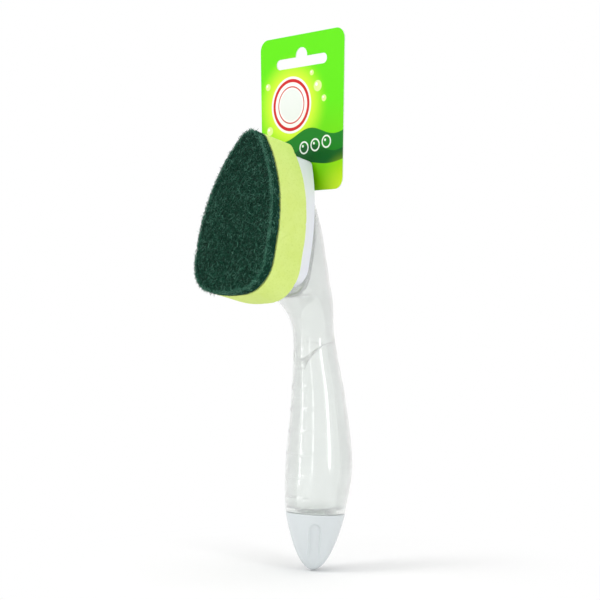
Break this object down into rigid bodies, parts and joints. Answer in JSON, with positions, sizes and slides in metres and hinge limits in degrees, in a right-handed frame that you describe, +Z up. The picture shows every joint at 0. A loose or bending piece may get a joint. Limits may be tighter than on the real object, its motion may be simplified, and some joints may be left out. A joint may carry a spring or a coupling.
{
  "type": "dish wand",
  "caption": "Soap-filled dish wand: hollow clear handle with a screw cap, slide-on sponge head with a scouring face, and a hang card.",
  "frame": {"origin": "centre of the scrubbing face", "axes": "+Z up along the handle towards the head's tip, -Y towards the side that scrubs, X across the head; the scrubbing face leans 12.5 degrees back from the vertical"},
  "size_m": [0.0652, 0.0879, 0.2908],
  "materials": {
    "clear": "clear, polished",
    "white": "satin moulded",
    "cap": "satin moulded",
    "silicone": "soft, matte",
    "gasket": "matte",
    "sponge": "porous cellulose",
    "scour": "rough non-woven fibre",
    "card": "printed, glossy"
  },
  "bodies": {
    "wand": {"soap_handle": "clear", "neck_shell": "clear", "head_plate": "clear", "dock_rail": "clear", "outlet_valve": "silicone", "valve_ring": "white"},
    "refill": {"refill_base": "white", "sponge": "sponge", "scour_pad": "scour"},
    "card": {"hang_card": "card"},
    "gasket": {"cap_gasket": "gasket"},
    "cap": {"end_cap": "cap"}
  },
  "joints": [
    {"name": "refill_slide", "type": "slide", "parent": "wand", "child": "refill", "axis": [0, 0.2164, 0.9763], "range_m": [0, 0.06]},
    {"name": "card_slide", "type": "slide", "parent": "refill", "child": "card", "axis": [0, 0.2164, 0.9763], "range_m": [0, 0.032]},
    {"name": "cap_lift", "type": "slide", "parent": "wand", "child": "gasket", "axis": [0, -0.0698, -0.9976], "range_m": [0, 0.0121]},
    {"name": "cap_turn", "type": "hinge", "parent": "gasket", "child": "cap", "pos_m": [0, 0.0572, -0.1618], "axis": [0, -0.0698, -0.9976], "range_deg": [0, 1080]}
  ],
  "couplings": [
    {"joint": "cap_lift", "follows": "cap_turn", "m_per_rad": 0.00063662}
  ]
}
